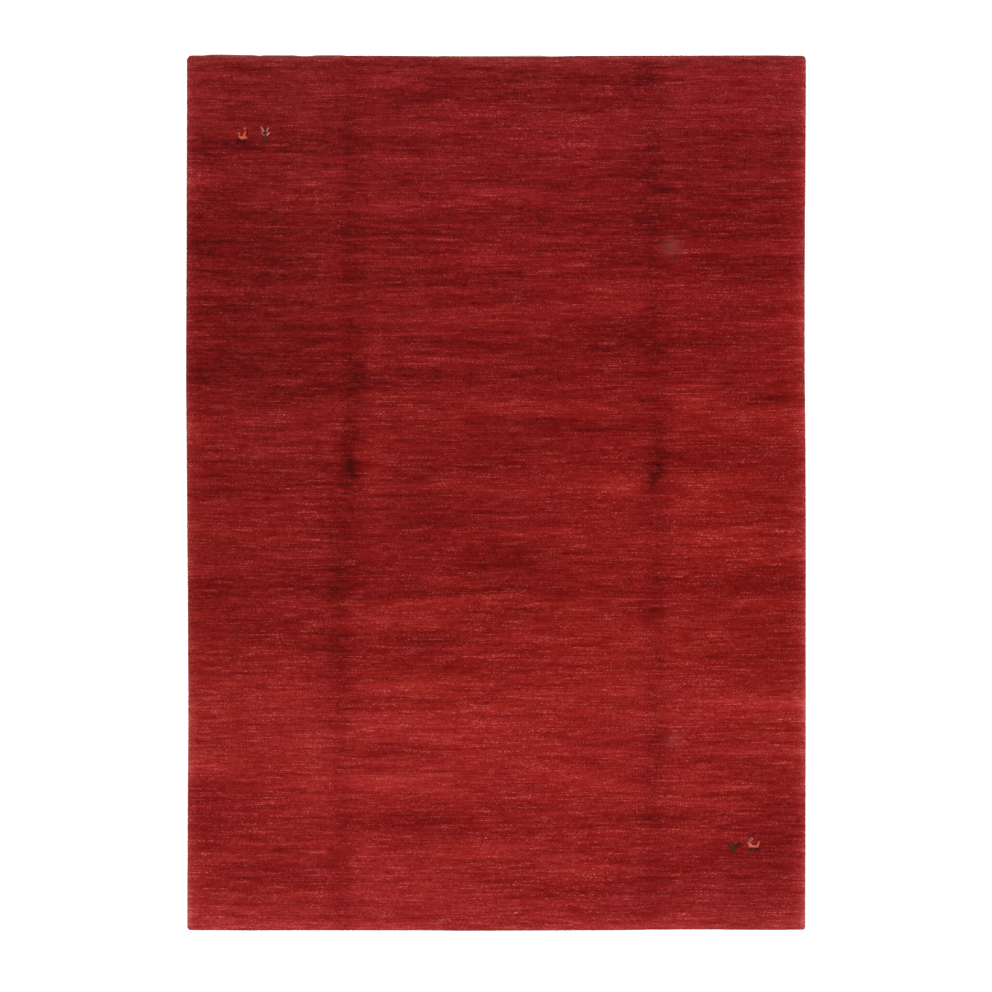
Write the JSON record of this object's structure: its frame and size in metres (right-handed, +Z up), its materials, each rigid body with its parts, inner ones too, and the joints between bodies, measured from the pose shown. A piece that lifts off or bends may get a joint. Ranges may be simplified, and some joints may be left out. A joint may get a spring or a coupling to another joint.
{
  "type": "gabbeh rug",
  "caption": "Rectangular hand-knotted wool pile rug lying flat, with overcast side cords and turned-under flat-woven ends.",
  "frame": {"origin": "on the floor under the middle of the rug", "axes": "+X across the width, +Y along the length towards the head end, +Z up from the floor through the pile"},
  "size_m": [1.6999, 2.4035, 0.0165],
  "materials": {
    "pile_wool": "cut wool pile, streaky red abrash",
    "selvedge_wool": "overcast wool yarn",
    "kilim_web": "flat weave of undyed wool"
  },
  "bodies": {
    "root": {"knotted_field": "pile_wool", "selvedge_left": "selvedge_wool", "selvedge_right": "selvedge_wool", "kilim_end_head": "kilim_web", "kilim_end_foot": "kilim_web"}
  },
  "joints": []
}
